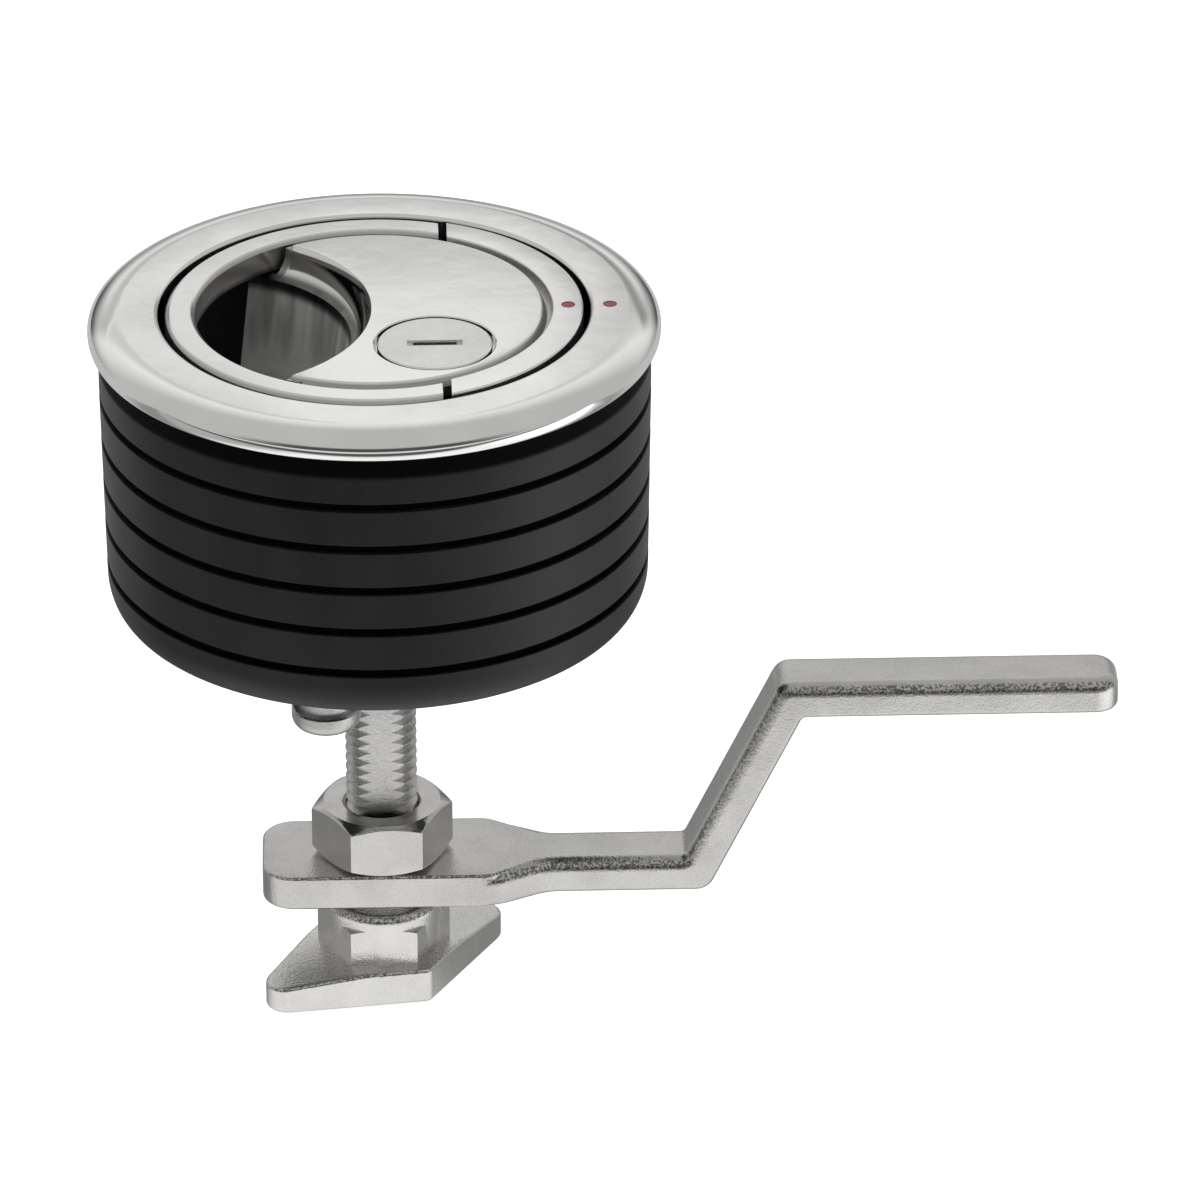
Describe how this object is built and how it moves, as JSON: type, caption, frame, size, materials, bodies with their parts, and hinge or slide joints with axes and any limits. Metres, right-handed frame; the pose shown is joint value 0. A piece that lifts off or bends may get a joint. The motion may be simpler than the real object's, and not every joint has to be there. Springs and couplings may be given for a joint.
{
  "type": "compression latch",
  "caption": "Round flush lift-and-turn compression latch with a key lock: lifting the handle lets the threaded shaft down, turning it swings the offset cam arm.",
  "frame": {"origin": "on the latch axis, in the plane where the flange rests on the panel", "axes": "+Z out of the panel towards the user, +X along the cam arm at rest, +Y to the left of the arm"},
  "size_m": [0.1397, 0.077, 0.1025],
  "materials": {
    "polished_steel": "mirror polished stainless casting",
    "red_enamel": "filled enamel dot",
    "seal_rubber": "matt moulded rubber",
    "moulded_black": "fine textured black moulding",
    "washer_plastic": "smooth",
    "zinc_steel": "satin machined",
    "satin_steel": "fine turned",
    "lock_brass": "machined",
    "spring_steel": "drawn wire",
    "lock_face_steel": "polished with fine circular marks",
    "cast_steel": "satin cast and tumbled"
  },
  "bodies": {
    "housing": {"bezel": "polished_steel", "bezel_mark": "red_enamel", "body_seal": "seal_rubber", "housing": "moulded_black", "thrust_washer": "washer_plastic", "neck_seal": "seal_rubber", "stop_screw": "zinc_steel"},
    "rotor": {"rotor": "polished_steel", "rotor_mark": "red_enamel", "pivot_pins": "satin_steel", "lock_barrel": "lock_brass", "barrel_nut": "zinc_steel", "hub": "zinc_steel", "hub_screws": "zinc_steel", "rotor_seal": "seal_rubber", "shaft_seal": "seal_rubber", "stop_plate": "zinc_steel", "stem_nut": "zinc_steel", "return_spring": "spring_steel"},
    "handle": {"handle": "polished_steel", "crank_pins": "satin_steel"},
    "lock": {"lock_plug": "lock_face_steel", "lock_tongue": "zinc_steel", "tongue_screw": "zinc_steel"},
    "shaft": {"lift_yoke": "satin_steel", "shaft": "satin_steel", "shaft_clip": "spring_steel", "jam_nut": "satin_steel", "cam_arm": "cast_steel", "wing_nut": "cast_steel"}
  },
  "joints": [
    {"name": "rotor_turn", "type": "hinge", "parent": "housing", "child": "rotor", "pos_m": [0, 0, 0], "axis": [0, 0, 1], "range_deg": [0, 90]},
    {"name": "handle_lift", "type": "hinge", "parent": "rotor", "child": "handle", "pos_m": [0.0028, 0, 0.0006], "axis": [0, 1, 0], "range_deg": [0, 90]},
    {"name": "shaft_slide", "type": "slide", "parent": "rotor", "child": "shaft", "axis": [0, 0, -1], "range_m": [0, 0.0045], "stiffness_N_per_m": 540, "springref_m": -0.008, "deforming": ["return_spring"]},
    {"name": "lock_turn", "type": "hinge", "parent": "rotor", "child": "lock", "pos_m": [0.008, -0.011, 0], "axis": [0, 0, -1], "range_deg": [0, 90]}
  ],
  "couplings": [
    {"joint": "handle_lift", "follows": "shaft_slide", "rad_per_m": 349.07}
  ]
}
